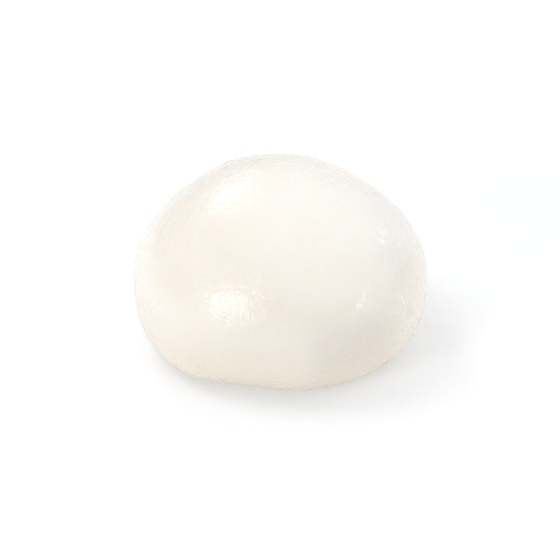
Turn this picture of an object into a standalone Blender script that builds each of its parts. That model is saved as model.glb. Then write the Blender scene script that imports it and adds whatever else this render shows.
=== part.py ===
"""A burrata: one plump, smooth ball of fresh soft cheese, sagged onto a flat foot.

The ball is wider than it is deep and deeper than it is high.  Its skin is
gathered to a small pinch low on the right of the front (+X, -Y).  Fine pleats
run out from the pinch, a soft crest sweeps past it from the upper right down to
the middle of the front, and the edge of the folded-over skin shows as a low
step along the upper right.

Rest pose: lying on its foot, z = 0 at the foot, the centre of the box over the
origin.  Angles are in degrees: azimuth is counted from the front (-Y) towards
the right (+X), elevation upwards from the level of the ball's middle.
"""

import bmesh
import bpy
import numpy as np
from mathutils import Vector

# ---- size of the ball, in metres ----
HALF_WIDTH = 0.0350
HALF_DEPTH = 0.0336
CROWN_HEIGHT = 0.0267
BELLY_DEPTH = 0.0229
MIDDLE_HEIGHT = 0.0179
CROWN_FULLNESS = 1.89
BELLY_FULLNESS = 2.90
FOOT_ROUNDING = 0.0035

# ---- the pinch the skin is gathered to ----
PINCH_AZIMUTH = 59.0
PINCH_ELEVATION = -2.5
PINCH_DEPTH = 0.0005
PINCH_SPREAD = 3.0

# ---- the pleats that run out from the pinch: their number, height, reach, how far
# they stray from even spacing, and where the first one starts ----
PLEATS = (
    (14, 0.00003, 5.0, 1.0, 0.6),
    (22, 0.00003, 11.0, 1.4, 0.0),
    (11, 0.00004, 15.0, 1.9, 1.1),
)

# ---- broad swells (+) and hollows (-): azimuth, elevation, spread, height ----
SWELLS = (
    (-105.0, 25.0, 35.0, -0.0013),
    (110.0, 35.0, 35.0, -0.0014),
    (180.0, 50.0, 35.0, -0.0003),
    (-45.0, -28.0, 24.0, 0.0006),
    (-15.0, -28.0, 18.0, -0.0015),
    (5.0, -8.0, 20.0, 0.0006),
    (70.0, -12.0, 28.0, 0.0005),
    (-45.0, 15.0, 28.0, -0.0003),
    (-20.0, 30.0, 20.0, -0.0007),
    (20.0, 35.0, 26.0, 0.0004),
    (35.0, 5.0, 13.0, 0.0011),
    (-150.0, -5.0, 22.0, 0.0006),
    (165.0, 10.0, 14.0, -0.0004),
)

# ---- long folds, each along a circle drawn on the ball: the circle's axis
# (azimuth, elevation) and its radius, the fold's middle (azimuth, elevation) and
# reach, its height, and how far it spreads inside and outside the circle ----
FOLDS = (
    (98.0, -44.0, 84.5, 46.0, 24.0, 46.0, 0.0005, 6.5, 16.0),
    (98.0, -44.0, 82.5, 40.0, 18.0, 32.0, 0.00036, 4.0, 8.0),
    (98.0, -44.0, 108.0, 10.0, 34.0, 34.0, -0.0003, 12.0, 12.0),
    (98.0, -44.0, 67.5, 39.0, 1.0, 33.0, -0.00155, 10.0, 9.5),
    (0.0, 53.0, 53.5, 103.0, 55.0, 34.0, 0.00025, 9.0, 4.0),
    (60.0, 20.0, 118.0, 178.0, 10.0, 40.0, 0.0004, 9.0, 6.0),
)

# ---- fineness of the solid ----
MERIDIANS = 88
RINGS = 56

CHEESE_COLOR = (0.88, 0.83, 0.75, 1.0)


def clear_scene():
    """Remove every object of the starting scene."""
    for thing in list(bpy.data.objects):
        bpy.data.objects.remove(thing, do_unlink=True)


def toward(azimuth, elevation):
    """Unit vector from the ball's middle at an azimuth and an elevation."""
    turn = np.radians(azimuth)
    rise = np.radians(elevation)
    return np.array([np.sin(turn) * np.cos(rise), -np.cos(turn) * np.cos(rise), np.sin(rise)])


def angle_from(rays, azimuth, elevation):
    """Angle in degrees between each ray and one direction."""
    return np.degrees(np.arccos(np.clip(rays @ toward(azimuth, elevation), -1.0, 1.0)))


def ball_radius(rays):
    """Distance to the plain ball: round above its middle, fuller below it."""
    level = np.hypot(rays[:, 0] / HALF_WIDTH, rays[:, 1] / HALF_DEPTH)
    upper = rays[:, 2] > 0.0
    height = np.where(upper, CROWN_HEIGHT, BELLY_DEPTH)
    fullness = np.where(upper, CROWN_FULLNESS, BELLY_FULLNESS)
    total = level ** fullness + (np.abs(rays[:, 2]) / height) ** fullness
    return total ** (-1.0 / fullness)


def swell_height(rays):
    """Sum of the broad swells and hollows, each a round bell over its spread."""
    total = np.zeros(len(rays))
    for azimuth, elevation, spread, height in SWELLS:
        total += height * np.exp(-(angle_from(rays, azimuth, elevation) / spread) ** 2)
    return total


def fold_height(rays):
    """Sum of the long folds: a bell across each circle, faded out at its ends."""
    total = np.zeros(len(rays))
    for axis_az, axis_el, radius, mid_az, mid_el, reach, height, inner, outer in FOLDS:
        across = angle_from(rays, axis_az, axis_el) - radius
        width = np.where(across < 0.0, inner, outer)
        along = np.exp(-(angle_from(rays, mid_az, mid_el) / reach) ** 4)
        total += height * np.exp(-(across / width) ** 2) * along
    return total


def pinch_height(rays):
    """The dimple of the pinch and the pleats that fan out from it."""
    pinch = toward(PINCH_AZIMUTH, PINCH_ELEVATION)
    sideways = np.cross(pinch, (0.0, 0.0, 1.0))
    sideways /= np.linalg.norm(sideways)
    upward = np.cross(sideways, pinch)
    away = angle_from(rays, PINCH_AZIMUTH, PINCH_ELEVATION)
    around = np.arctan2(rays @ sideways, rays @ upward)
    total = -PINCH_DEPTH * np.exp(-(away / PINCH_SPREAD) ** 2)
    for count, height, reach, sway, start in PLEATS:
        turned = count * around + sway * np.sin(3.0 * around + start) + start
        strength = (away / reach) ** 2 * np.exp(2.0 - 2.0 * away / reach)
        uneven = (0.5 + 0.5 * np.cos(around + 0.6 + 0.3 * start)) ** 1.5
        total += height * strength * uneven * np.cos(turned + away / reach)
    return total


def settle(heights):
    """Flatten what would lie under the floor, with a soft bend where it meets it."""
    bend = (heights + FOOT_ROUNDING) ** 2 / (4.0 * FOOT_ROUNDING)
    flat = np.where(heights < -FOOT_ROUNDING, 0.0, bend)
    return np.where(heights > FOOT_ROUNDING, heights, flat)


def skin_points(rays):
    """Points of the skin along the rays, set on the floor and centred over the origin."""
    radius = ball_radius(rays) + swell_height(rays) + fold_height(rays) + pinch_height(rays)
    points = rays * radius[:, None]
    points[:, 2] = settle(points[:, 2] + MIDDLE_HEIGHT)
    points[:, :2] -= (points[:, :2].min(axis=0) + points[:, :2].max(axis=0)) / 2.0
    return points


def build_burrata(collection, material):
    """The whole cheese: a sphere with its pole at the pinch, moved out to the skin."""
    pole = Vector(toward(PINCH_AZIMUTH, PINCH_ELEVATION))
    turn = pole.to_track_quat("Z", "Y").to_matrix().to_4x4()
    shell = bmesh.new()
    bmesh.ops.create_uvsphere(
        shell, u_segments=MERIDIANS, v_segments=RINGS, radius=1.0, matrix=turn
    )
    rays = np.array([corner.co[:] for corner in shell.verts])
    rays /= np.linalg.norm(rays, axis=1)[:, None]
    for corner, point in zip(shell.verts, skin_points(rays)):
        corner.co = point
    bmesh.ops.triangulate(shell, faces=shell.faces[:])
    bmesh.ops.recalc_face_normals(shell, faces=shell.faces[:])
    for face in shell.faces:
        face.smooth = True
    mesh = bpy.data.meshes.new("burrata")
    shell.to_mesh(mesh)
    shell.free()
    mesh.materials.append(material)
    burrata = bpy.data.objects.new("burrata", mesh)
    collection.objects.link(burrata)
    return burrata


def make_cheese_material():
    """Moist, cream-white fresh cheese."""
    material = bpy.data.materials.new("cheese")
    material.use_nodes = True
    shader = material.node_tree.nodes["Principled BSDF"]
    shader.inputs["Base Color"].default_value = CHEESE_COLOR
    shader.inputs["Roughness"].default_value = 0.35
    return material


def main():
    """Build the burrata in a collection of its own."""
    clear_scene()
    collection = bpy.data.collections.new("burrata")
    bpy.context.scene.collection.children.link(collection)
    build_burrata(collection, make_cheese_material())


main()
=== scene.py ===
"""A moist burrata lying on a pale table in soft studio light.

The skin is one closed surface: a sphere whose pole sits at the pinch, moved out
along its rays by the plain ball, the broad swells, the long folds, the pleats of
the pinch and the fine unevenness of stretched curd.  Lengths are in metres and
angles in degrees; azimuth is counted from the front (-Y) towards the right (+X).
"""

import bpy
import numpy as np
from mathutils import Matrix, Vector


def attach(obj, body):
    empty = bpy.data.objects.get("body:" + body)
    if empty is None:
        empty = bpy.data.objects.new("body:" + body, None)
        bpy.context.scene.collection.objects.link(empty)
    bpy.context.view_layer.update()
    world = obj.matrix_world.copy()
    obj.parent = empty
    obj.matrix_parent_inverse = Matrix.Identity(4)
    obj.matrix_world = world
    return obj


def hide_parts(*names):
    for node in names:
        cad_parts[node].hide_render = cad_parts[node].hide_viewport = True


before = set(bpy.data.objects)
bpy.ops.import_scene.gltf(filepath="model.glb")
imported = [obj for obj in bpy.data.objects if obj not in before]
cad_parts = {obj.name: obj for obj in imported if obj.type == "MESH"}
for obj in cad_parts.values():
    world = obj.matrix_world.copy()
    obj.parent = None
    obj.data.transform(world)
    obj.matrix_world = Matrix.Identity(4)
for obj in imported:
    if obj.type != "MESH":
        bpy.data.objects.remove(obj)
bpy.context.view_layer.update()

# ---- size of the ball ----
HALF_WIDTH = 0.0350
HALF_DEPTH = 0.0336
CROWN_HEIGHT = 0.0267
BELLY_DEPTH = 0.0229
MIDDLE_HEIGHT = 0.0179
CROWN_FULLNESS = 1.89
BELLY_FULLNESS = 2.90
FOOT_ROUNDING = 0.0035

# ---- the pinch the skin is gathered to ----
PINCH_AZIMUTH = 59.0
PINCH_ELEVATION = -2.5
PINCH_DEPTH = 0.0005
PINCH_SPREAD = 3.0

# ---- pleats: number, height, reach, stray from even spacing, start ----
PLEATS = (
    (14, 0.000030, 5.0, 1.0, 0.6),
    (22, 0.000026, 11.0, 1.4, 0.0),
    (11, 0.000036, 15.0, 1.9, 1.1),
    (61, 0.000008, 16.0, 2.6, 2.3),
)

# ---- broad swells (+) and hollows (-): azimuth, elevation, spread, height ----
SWELLS = (
    (-105.0, 25.0, 35.0, -0.0013),
    (110.0, 35.0, 35.0, -0.0014),
    (180.0, 50.0, 35.0, -0.0003),
    (-45.0, -28.0, 24.0, 0.0006),
    (-15.0, -28.0, 18.0, -0.0015),
    (5.0, -8.0, 20.0, 0.0006),
    (70.0, -12.0, 28.0, 0.0005),
    (-45.0, 15.0, 28.0, -0.0003),
    (-20.0, 30.0, 20.0, -0.0007),
    (20.0, 35.0, 26.0, 0.0004),
    (35.0, 5.0, 13.0, 0.0011),
    (-150.0, -5.0, 22.0, 0.0006),
    (165.0, 10.0, 14.0, -0.0004),
)

# ---- long folds: circle axis (azimuth, elevation), circle radius, fold middle
# (azimuth, elevation), reach, height, spread inside and outside the circle ----
FOLDS = (
    (98.0, -44.0, 84.5, 46.0, 24.0, 46.0, 0.0005, 6.5, 16.0),
    (98.0, -44.0, 82.5, 40.0, 18.0, 32.0, 0.00036, 4.0, 8.0),
    (98.0, -44.0, 108.0, 10.0, 34.0, 34.0, -0.0003, 12.0, 12.0),
    (98.0, -44.0, 67.5, 39.0, 1.0, 33.0, -0.00155, 10.0, 9.5),
    (0.0, 53.0, 53.5, 103.0, 55.0, 34.0, 0.00025, 9.0, 1.6),
    (60.0, 20.0, 118.0, 178.0, 10.0, 40.0, 0.0004, 9.0, 6.0),
    (174.0, 45.0, 90.0, 23.0, 41.0, 8.0, -0.00014, 0.9, 0.9),
    (5.0, 60.0, 92.5, 57.0, -3.0, 4.0, -0.00012, 1.1, 1.1),
)

# ---- patches of painted shade and painted light on the skin: azimuth, elevation, spread, share of the tint ----
# painted shade: on the cheek below the crest, just above it, and on the front of the belly near
# the table
PAINTED_SHADE_PATCHES = ((36.0, -6.0, 17.0, 1.0), (22.0, -4.0, 11.0, 0.9), (5.0, -32.0, 13.0, 0.8))
# a pinker tone that is also lighter: a pink hue with painted light, on the upper left
ROSY_PAINTED_LIGHT_PATCHES = ((-82.0, 38.0, 19.0, 0.8),)
# painted light on the lit side of the crest
CREST_PAINTED_LIGHT_PATCHES = ((24.0, 22.0, 11.0, 0.6),)

# ---- the back shoulder, where the wet film has drained off, in the same form ----
DRAINED_PATCHES = ((140.0, 35.0, 24.0, 1.0),)

# ---- small marks on the skin, pressed in (-) or raised (+), in the swells' form ----
MARKS = (
    (-80.0, 31.0, 2.2, -0.00010),
    (-54.0, 5.0, 0.9, -0.00016),
    (-79.0, 18.0, 0.9, -0.00014),
    (-138.0, 50.0, 1.8, 0.00022),
    (140.0, 15.0, 1.6, -0.00012),
    (-120.0, 10.0, 1.4, -0.00012),
)

# ---- waves of the curd: shortest and longest wave, height, number of waves, seed ----
LUMPS = (0.009, 0.022, 0.00006, 24, 11)
DIMPLES = (0.0015, 0.0038, 0.000018, 90, 23)

# ---- fineness of the skin ----
RINGS = 256
MERIDIANS = 384

# ---- tones of the curd, and tones of painted light and painted shade ----
CREAM = (0.840, 0.788, 0.704)
MILK = (0.842, 0.820, 0.770)
ROSE = (0.846, 0.772, 0.705)
WHEY = (0.795, 0.775, 0.690)
# painted light: a whiter, more neutral tone on the crown towards the right
SHOULDER_PAINTED_LIGHT = (0.892, 0.862, 0.817)
# painted light: a whiter tone for the lit side of the crest
CREST_PAINTED_LIGHT = (0.884, 0.846, 0.772)
# painted shade: a darker, warmer tone towards the table
FOOT_PAINTED_SHADE = (0.780, 0.690, 0.555)
# painted shade: a darker, greyer tone
PAINTED_SHADE = (0.748, 0.696, 0.638)
# a pink tone that is also lighter: pink hue with painted light
BLUSH_AND_PAINTED_LIGHT = (0.892, 0.824, 0.760)

# ---- blotches of a tone: waves per metre, layers of noise, the noise at which the tone
# starts and at which it is full, and its full share; the streaks run out from the pinch,
# and their waves are counted per radian round it ----
MILK_BLOTCHES = (42.0, 2.0, 0.35, 0.65, 0.60)
ROSE_BLOTCHES = (65.0, 3.0, 0.40, 0.70, 0.45)
WHEY_STREAKS = (6.0, 3.0, 0.40, 0.70, 0.35)

# ---- painted light on the right shoulder: the way it faces, how far out that way its
# lighter tone starts and is full, and its full share ----
SHOULDER_PAINTED_LIGHT_WAY = (0.35, -0.25, 0.90)
SHOULDER_PAINTED_LIGHT_START = 0.032
SHOULDER_PAINTED_LIGHT_FULL = 0.043
SHOULDER_PAINTED_LIGHT_SHARE = 0.90

# ---- painted shade, darker and warmer towards the table: the height where it has faded out, and its share at the table ----
FOOT_PAINTED_SHADE_FADE = 0.020
FOOT_PAINTED_SHADE_SHARE = 0.80

# ---- the milky depth of the curd, and the soft shine of its own skin ----
SCATTER_SHARE = 0.55
SCATTER_REACH = 0.004
SCATTER_TINT = (1.0, 0.75, 0.5)
CURD_IOR = 1.38
CURD_SHINE = 0.5
CURD_ROUGHNESS = (0.29, 0.40)
ROUGHNESS_WAVES = 180.0

# ---- the wet film over it; it thins out where the drained share goes from low to high ----
FILM_IOR = 1.5
FILM_ROUGHNESS = 0.11
DRAINED_LOW = 0.1
DRAINED_HIGH = 0.6

# ---- grain: waves per metre of the pores and fibres, and the height of the grain ----
PORE_WAVES = 1550.0
FIBRE_WAVES = 700.0
FIBRE_STRETCH = (1.0, 1.0, 0.5)
CURD_GRAIN = 0.00006
FILM_GRAIN = 0.00021

# ---- the table: its two tones and their waves per metre, its finish and its own faint
# glow, half its side and its level ----
TABLE_TONES = ((0.612, 0.620, 0.634), (0.618, 0.626, 0.640))
TABLE_WAVES = 30.0
TABLE_ROUGHNESS = 0.9
TABLE_GLOW = (0.985, 0.99, 1.0, 1.0)
TABLE_GLOW_STRENGTH = 0.351
TABLE_REACH = 6.0
TABLE_LEVEL = -0.0002

# ---- lamps: azimuth, elevation, distance, width, height, brightness on a white card,
# and whether the wet skin mirrors the lamp ----
LAMPS = (
    ("key_back_left", -150.0, 42.0, 0.65, 0.16, 0.12, 0.12, True),
    ("key_front_left", -41.0, 19.0, 0.65, 0.21, 0.19, 0.28, True),
    ("glint_back_right", 123.0, 16.0, 0.65, 0.04, 0.04, 0.05, True),
    ("glint_front_right", 69.0, 5.0, 0.65, 0.12, 0.04, 0.16, True),
    ("fill_left", -93.0, 58.0, 0.80, 0.40, 0.40, 0.29, False),
)

# ---- glows of the room: azimuth, elevation, strength, sharpness ----
ROOM_GLOWS = (
    (0.0, 90.0, 0.53, 4.0),
    (130.0, 35.0, 0.49, 4.0),
    (90.0, 14.0, 0.40, 4.0),
    (0.0, 25.0, 0.12, 4.0),
    (-50.0, 45.0, 0.42, 8.0),
    (180.0, 12.0, 0.50, 16.0),
)

# ---- camera: it stands off from one point of the ball and is turned to another ----
CAMERA_ELEVATION = 30.0
CAMERA_DISTANCE = 0.450
CAMERA_LENS = 122.7
CAMERA_SENSOR = 36.0
CAMERA_NEAREST = 0.01
CAMERA_FOOT = (-0.00026, 0.0004, 0.022)
CAMERA_AIM = (-0.0001, -0.0028, 0.01646)


def toward(azimuth, elevation):
    """Unit vector (sin a cos e, -cos a cos e, sin e) at azimuth a and elevation e."""
    turn = np.radians(azimuth)
    rise = np.radians(elevation)
    return np.array([np.sin(turn) * np.cos(rise), -np.cos(turn) * np.cos(rise), np.sin(rise)])


def angle_from(rays, azimuth, elevation):
    """Angle in degrees between each ray and one direction: arccos of their dot product."""
    return np.degrees(np.arccos(np.clip(rays @ toward(azimuth, elevation), -1.0, 1.0)))


def ball_radius(rays):
    """Plain ball: (level^n + (rise / height)^n)^(-1/n), with a fuller n below the middle."""
    level = np.hypot(rays[:, 0] / HALF_WIDTH, rays[:, 1] / HALF_DEPTH)
    upper = rays[:, 2] > 0.0
    height = np.where(upper, CROWN_HEIGHT, BELLY_DEPTH)
    fullness = np.where(upper, CROWN_FULLNESS, BELLY_FULLNESS)
    total = level ** fullness + (np.abs(rays[:, 2]) / height) ** fullness
    return total ** (-1.0 / fullness)


def bells(rays, table):
    """Sum over the table of height * exp(-(angle / spread)^2) about each direction."""
    total = np.zeros(len(rays))
    for azimuth, elevation, spread, height in table:
        total += height * np.exp(-(angle_from(rays, azimuth, elevation) / spread) ** 2)
    return total


def long_folds(rays, table):
    """Sum of height * exp(-(across / width)^2) * exp(-(along / reach)^4) on each circle."""
    total = np.zeros(len(rays))
    for axis_az, axis_el, radius, mid_az, mid_el, reach, height, inner, outer in table:
        across = angle_from(rays, axis_az, axis_el) - radius
        width = np.where(across < 0.0, inner, outer)
        along = np.exp(-(angle_from(rays, mid_az, mid_el) / reach) ** 4)
        total += height * np.exp(-(across / width) ** 2) * along
    return total


def pinch_axes():
    """The pinch's direction, and two directions square to it: sideways and upward."""
    pinch = toward(PINCH_AZIMUTH, PINCH_ELEVATION)
    sideways = np.cross(pinch, (0.0, 0.0, 1.0))
    sideways /= np.linalg.norm(sideways)
    return pinch, sideways, np.cross(sideways, pinch)


def pinch_angles(rays):
    """Angle away from the pinch in degrees, and angle around it in radians."""
    pinch, sideways, upward = pinch_axes()
    away = np.degrees(np.arccos(np.clip(rays @ pinch, -1.0, 1.0)))
    return away, np.arctan2(rays @ sideways, rays @ upward)


def pinch_pleats(rays):
    """Dimple -depth exp(-(away/spread)^2), plus cosines of the angle around the pinch.

    Each set of pleats is (away/reach)^2 exp(2 - 2 away/reach) cos(count * around + stray).
    """
    away, around = pinch_angles(rays)
    total = -PINCH_DEPTH * np.exp(-(away / PINCH_SPREAD) ** 2)
    for count, height, reach, sway, start in PLEATS:
        turned = count * around + sway * np.sin(3.0 * around + start) + start
        strength = (away / reach) ** 2 * np.exp(2.0 - 2.0 * away / reach)
        uneven = (0.5 + 0.5 * np.cos(around + 0.6 + 0.3 * start)) ** 1.5
        total += height * strength * uneven * np.cos(turned + away / reach)
    return total


def waves(points, shortest, longest, height, count, seed):
    """Sum of count plane sine waves in random directions, of root-mean-square height."""
    draw = np.random.default_rng(seed)
    ways = draw.normal(size=(count, 3))
    ways /= np.linalg.norm(ways, axis=1)[:, None]
    lengths = shortest * (longest / shortest) ** draw.random(count)
    phases = draw.random(count) * 2.0 * np.pi
    total = np.zeros(len(points))
    for way, length, phase in zip(ways, lengths, phases):
        total += np.sin(points @ way * (2.0 * np.pi / length) + phase)
    return total * height / np.sqrt(count / 2.0)


def settle(heights):
    """Flatten what would lie under the floor: (z + r)^2 / 4r between -r and r."""
    bend = (heights + FOOT_ROUNDING) ** 2 / (4.0 * FOOT_ROUNDING)
    flat = np.where(heights < -FOOT_ROUNDING, 0.0, bend)
    return np.where(heights > FOOT_ROUNDING, heights, flat)


def skin_rays():
    """Rays of a sphere grid with its pole at the pinch.

    Ring i, meridian j: cos(t) pinch + sin(t) (cos(p) sideways + sin(p) upward), with
    t = pi i / RINGS and p = 2 pi j / MERIDIANS; the two poles come last.
    """
    pinch, sideways, upward = pinch_axes()
    tilt = np.pi * np.arange(1, RINGS) / RINGS
    turn = 2.0 * np.pi * np.arange(MERIDIANS) / MERIDIANS
    tilt, turn = np.meshgrid(tilt, turn, indexing="ij")
    level = np.cos(turn)[..., None] * sideways + np.sin(turn)[..., None] * upward
    rays = np.cos(tilt)[..., None] * pinch + np.sin(tilt)[..., None] * level
    return np.vstack([rays.reshape(-1, 3), pinch, -pinch])


def skin_points(rays):
    """Rays times their radius, settled on the floor, centred over the origin."""
    radius = ball_radius(rays) + bells(rays, SWELLS) + long_folds(rays, FOLDS) + pinch_pleats(rays)
    smooth = rays * radius[:, None]
    radius = radius + bells(rays, MARKS)
    radius = radius + waves(smooth, *LUMPS) + waves(smooth, *DIMPLES)
    points = rays * radius[:, None]
    points[:, 2] = settle(points[:, 2] + MIDDLE_HEIGHT)
    points[:, :2] -= (points[:, :2].min(axis=0) + points[:, :2].max(axis=0)) / 2.0
    return points


def shell_faces():
    """Four-sided faces between neighbouring rings, and a fan of triangles at each pole."""
    ring = np.arange(RINGS - 2)[:, None] * MERIDIANS
    here = np.arange(MERIDIANS)[None, :]
    after = (here + 1) % MERIDIANS
    below = ring + MERIDIANS
    sides = np.stack([ring + here, ring + after, below + after, below + here], -1)
    first_pole = (RINGS - 1) * MERIDIANS
    last_ring = (RINGS - 2) * MERIDIANS
    near, far = here[0], after[0]
    first = np.stack([np.full(MERIDIANS, first_pole), far, near], -1)
    last = np.stack([np.full(MERIDIANS, first_pole + 1), last_ring + near, last_ring + far], -1)
    return sides.reshape(-1, 4).tolist() + first.tolist() + last.tolist()


def burrata_skin():
    """The moist skin, all round the ball, with its streaks and its patches, some of painted light
    and painted shade, as attributes.
    """
    rays = skin_rays()
    mesh = bpy.data.meshes.new("burrata_skin")
    mesh.from_pydata(skin_points(rays).tolist(), [], shell_faces())
    mesh.shade_smooth()
    away, around = pinch_angles(rays)
    streak = np.stack([np.cos(around), np.sin(around), away / 180.0], -1)
    streaks = mesh.attributes.new("streak", "FLOAT_VECTOR", "POINT")
    streaks.data.foreach_set("vector", streak.ravel())
    # shares of painted shade, of a pink tone with painted light, of painted light on the crest,
    # and of the drained film
    patched = (
        ("painted_shade_share", PAINTED_SHADE_PATCHES),
        ("rosy_painted_light", ROSY_PAINTED_LIGHT_PATCHES),
        ("pale", CREST_PAINTED_LIGHT_PATCHES),
        ("drained", DRAINED_PATCHES),
    )
    for name, patches in patched:
        shares = mesh.attributes.new(name, "FLOAT", "POINT")
        shares.data.foreach_set("value", bells(rays, patches))
    skin = bpy.data.objects.new("burrata_skin", mesh)
    bpy.context.scene.collection.objects.link(skin)
    return skin


class Recipe:
    """The node tree of a material or a world, with short calls for the nodes used here."""

    def __init__(self, owner):
        owner.use_nodes = True
        self.tree = owner.node_tree
        self.shader = self.tree.nodes.get("Principled BSDF")

    def put(self, kind, **settings):
        """Add a node and set its own settings."""
        node = self.tree.nodes.new(kind)
        for key, value in settings.items():
            setattr(node, key, value)
        return node

    def join(self, source, target):
        """Link an output to an input."""
        self.tree.links.new(source, target)

    def noise(self, place, scale, layers=2.0):
        """Noise from 0 to 1 at a scale in waves per metre, with finer layers over it."""
        node = self.put("ShaderNodeTexNoise")
        node.inputs["Scale"].default_value = scale
        node.inputs["Detail"].default_value = layers
        node.inputs["Roughness"].default_value = 0.5
        self.join(place, node.inputs["Vector"])
        return node.outputs["Fac"]

    def remap(self, source, low, high, new_low, new_high):
        """Carry low..high over to new_low..new_high, held at both ends."""
        node = self.put("ShaderNodeMapRange")
        node.inputs["From Min"].default_value = low
        node.inputs["From Max"].default_value = high
        node.inputs["To Min"].default_value = new_low
        node.inputs["To Max"].default_value = new_high
        self.join(source, node.inputs["Value"])
        return node.outputs["Result"]

    def blotches(self, place, scale, layers, start, full, share):
        """A tone's share in blotches of noise: 0 at the start, its full share at full."""
        return self.remap(self.noise(place, scale, layers), start, full, 0.0, share)

    def blend(self, amount, first, second):
        """Mix two colours; each is an output or a plain colour."""
        node = self.put("ShaderNodeMix", data_type="RGBA")
        self.join(amount, node.inputs["Factor"])
        first_socket, second_socket = [s for s in node.inputs if s.type == "RGBA"]
        for socket, colour in ((first_socket, first), (second_socket, second)):
            if isinstance(colour, tuple):
                socket.default_value = colour + (1.0,)
            else:
                self.join(colour, socket)
        return [s for s in node.outputs if s.type == "RGBA"][0]

    def stored(self, name):
        """A number or a vector stored on the points of the mesh: the node's outputs."""
        return self.put("ShaderNodeAttribute", attribute_name=name).outputs

    def along(self, place, way):
        """Dot product of a position or direction with a fixed one."""
        node = self.put("ShaderNodeVectorMath", operation="DOT_PRODUCT")
        node.inputs[1].default_value = tuple(way)
        self.join(place, node.inputs[0])
        return node.outputs["Value"]

    def stretch(self, place, scale):
        """Scale a position along the three axes."""
        node = self.put("ShaderNodeMapping")
        node.inputs["Scale"].default_value = scale
        self.join(place, node.inputs["Vector"])
        return node.outputs["Vector"]

    def bump(self, height, distance):
        """Surface direction roughened by a height from 0 to 1 times a distance."""
        node = self.put("ShaderNodeBump")
        node.inputs["Strength"].default_value = 1.0
        node.inputs["Distance"].default_value = distance
        self.join(height, node.inputs["Height"])
        return node.outputs["Normal"]

    def compute(self, operation, first, *others):
        """Math node: one linked value, and plain numbers or links after it."""
        node = self.put("ShaderNodeMath", operation=operation)
        self.join(first, node.inputs[0])
        for socket, other in zip(node.inputs[1:], others):
            if isinstance(other, float):
                socket.default_value = other
            else:
                self.join(other, socket)
        return node.outputs["Value"]


def curd_tone(curd, place):
    """Milk-white curd with faint cream, rose and whey tones, and painted light and shade.

    Painted light whitens the crown towards the right and the lit side of the crest, and lightens
    a pinker patch on the upper left; painted shade darkens the cheek below the crest and the
    front of the belly, and darkens and warms the skin towards the table.
    """
    colour = curd.blend(curd.blotches(place, *MILK_BLOTCHES), CREAM, MILK)
    colour = curd.blend(curd.blotches(place, *ROSE_BLOTCHES), colour, ROSE)
    streak = curd.stored("streak")["Vector"]
    colour = curd.blend(curd.blotches(streak, *WHEY_STREAKS), colour, WHEY)
    # painted light: whiter towards the crown's right side
    outward = curd.along(place, SHOULDER_PAINTED_LIGHT_WAY)
    shoulder_painted_light_share = curd.remap(outward, SHOULDER_PAINTED_LIGHT_START, SHOULDER_PAINTED_LIGHT_FULL, 0.0, SHOULDER_PAINTED_LIGHT_SHARE)
    colour = curd.blend(shoulder_painted_light_share, colour, SHOULDER_PAINTED_LIGHT)
    # painted shade on the cheek and belly, a pink tone with painted light on the upper left, and
    # painted light on the crest
    for name, tint in (("painted_shade_share", PAINTED_SHADE), ("rosy_painted_light", BLUSH_AND_PAINTED_LIGHT), ("pale", CREST_PAINTED_LIGHT)):
        colour = curd.blend(curd.stored(name)["Fac"], colour, tint)
    # painted shade: darker and warmer towards the table
    height = curd.along(place, (0.0, 0.0, 1.0))
    foot_painted_shade_share = curd.remap(height, 0.0, FOOT_PAINTED_SHADE_FADE, FOOT_PAINTED_SHADE_SHARE, 0.0)
    return curd.blend(foot_painted_shade_share, colour, FOOT_PAINTED_SHADE)


def moist_curd():
    """Fresh curd: milky depth, a fibrous skin, and a wet film that drains off the back."""
    material = bpy.data.materials.new("moist_curd")
    curd = Recipe(material)
    shader = curd.shader
    place = curd.put("ShaderNodeTexCoord").outputs["Object"]
    curd.join(curd_tone(curd, place), shader.inputs["Base Color"])

    shader.inputs["Subsurface Weight"].default_value = SCATTER_SHARE
    shader.inputs["Subsurface Radius"].default_value = SCATTER_TINT
    shader.inputs["Subsurface Scale"].default_value = SCATTER_REACH
    shader.inputs["IOR"].default_value = CURD_IOR
    rough = curd.remap(curd.noise(place, ROUGHNESS_WAVES, 3.0), 0.3, 0.7, *CURD_ROUGHNESS)
    curd.join(rough, shader.inputs["Roughness"])

    shader.inputs["Coat Roughness"].default_value = FILM_ROUGHNESS
    shader.inputs["Coat IOR"].default_value = FILM_IOR
    drained = curd.stored("drained")["Fac"]
    film = curd.remap(drained, DRAINED_LOW, DRAINED_HIGH, 1.0, 0.0)
    curd.join(film, shader.inputs["Coat Weight"])
    shine = curd.remap(drained, DRAINED_LOW, DRAINED_HIGH, CURD_SHINE, 0.0)
    curd.join(shine, shader.inputs["Specular IOR Level"])

    pores = curd.noise(place, PORE_WAVES, 1.0)
    fibres = curd.noise(curd.stretch(place, FIBRE_STRETCH), FIBRE_WAVES)
    grain = curd.compute("ADD", pores, fibres)
    curd.join(curd.bump(grain, CURD_GRAIN), shader.inputs["Normal"])
    curd.join(curd.bump(pores, FILM_GRAIN), shader.inputs["Coat Normal"])
    return material


def table_white():
    """Plain matt white that glows faintly by itself."""
    material = bpy.data.materials.new("table_white")
    paint = Recipe(material)
    place = paint.put("ShaderNodeTexCoord").outputs["Object"]
    tone = paint.blotches(place, TABLE_WAVES, 2.0, 0.3, 0.7, 1.0)
    paint.join(paint.blend(tone, *TABLE_TONES), paint.shader.inputs["Base Color"])
    paint.shader.inputs["Emission Color"].default_value = TABLE_GLOW
    paint.shader.inputs["Emission Strength"].default_value = TABLE_GLOW_STRENGTH
    paint.shader.inputs["Roughness"].default_value = TABLE_ROUGHNESS
    paint.shader.inputs["Specular IOR Level"].default_value = 0.0
    return material


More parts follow.
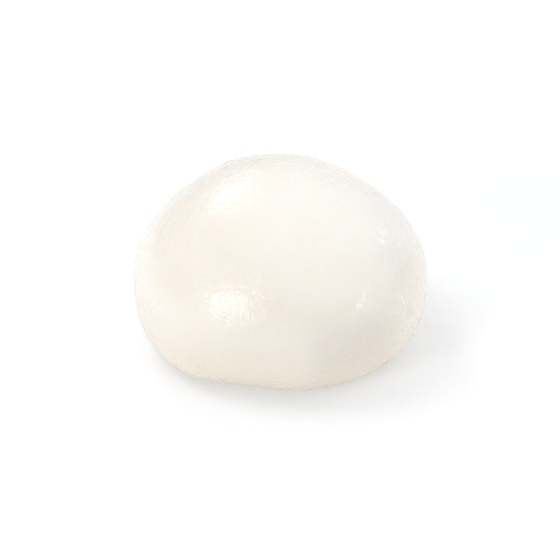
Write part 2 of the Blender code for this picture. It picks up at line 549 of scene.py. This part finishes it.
def pale_table():
    """A plain white surface, wide enough for every view."""
    mesh = bpy.data.meshes.new("table")
    turns = ((-1, -1), (1, -1), (1, 1), (-1, 1))
    corners = [(x * TABLE_REACH, y * TABLE_REACH, TABLE_LEVEL) for x, y in turns]
    mesh.from_pydata(corners, [], [(0, 1, 2, 3)])
    mesh.materials.append(table_white())
    table = bpy.data.objects.new("table", mesh)
    bpy.context.scene.collection.objects.link(table)
    return table


def softbox(name, azimuth, elevation, distance, width, height, brightness, mirrored):
    """A rectangular lamp turned to face the middle of the ball.

    Brightness is what a white card at the ball would show: the power is brightness
    times pi squared times the distance squared.  A lamp that isn't mirrored lights the
    skin and casts its shadow, but leaves no glint on it.
    """
    lamp = bpy.data.lights.new(name, "AREA")
    lamp.shape = "RECTANGLE"
    lamp.size = width
    lamp.size_y = height
    lamp.energy = brightness * (np.pi * distance) ** 2
    holder = bpy.data.objects.new(name, lamp)
    way = Vector(toward(azimuth, elevation))
    holder.location = Vector((0.0, 0.0, MIDDLE_HEIGHT)) + way * distance
    holder.rotation_euler = way.to_track_quat("Z", "Y").to_euler()
    holder.visible_glossy = mirrored
    bpy.context.scene.collection.objects.link(holder)


def bright_room():
    """Soft white surroundings: the sum of strength ((1 + cos angle) / 2)^sharpness."""
    world = bpy.data.worlds.new("bright_room")
    room = Recipe(world)
    sight = room.put("ShaderNodeTexCoord").outputs["Generated"]
    total = 0.0
    for azimuth, elevation, strength, sharpness in ROOM_GLOWS:
        share = room.remap(room.along(sight, toward(azimuth, elevation)), -1.0, 1.0, 0.0, 1.0)
        glow = room.compute("POWER", share, sharpness)
        total = room.compute("MULTIPLY_ADD", glow, strength, total)
    background = room.tree.nodes["Background"]
    background.inputs["Color"].default_value = (1.0, 1.0, 1.0, 1.0)
    room.join(total, background.inputs["Strength"])
    bpy.context.scene.world = world


def light_room():
    """The room's glow, and the lamps whose reflections show on the wet skin."""
    bright_room()
    for lamp in LAMPS:
        softbox(*lamp)
    bpy.context.scene.view_settings.view_transform = "Standard"


def place_camera():
    """A long lens above the front edge, looking along +Y and down."""
    lens = bpy.data.cameras.new("camera")
    lens.lens = CAMERA_LENS
    lens.sensor_width = CAMERA_SENSOR
    lens.clip_start = CAMERA_NEAREST
    camera = bpy.data.objects.new("camera", lens)
    way = Vector(toward(0.0, CAMERA_ELEVATION))
    camera.location = Vector(CAMERA_FOOT) + way * CAMERA_DISTANCE
    sight = camera.location - Vector(CAMERA_AIM)
    camera.rotation_euler = sight.to_track_quat("Z", "Y").to_euler()
    bpy.context.scene.collection.objects.link(camera)
    bpy.context.scene.camera = camera


skin = burrata_skin()
skin.data.materials.append(moist_curd())
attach(skin, "root")
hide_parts("burrata")
pale_table()
light_room()
place_camera()
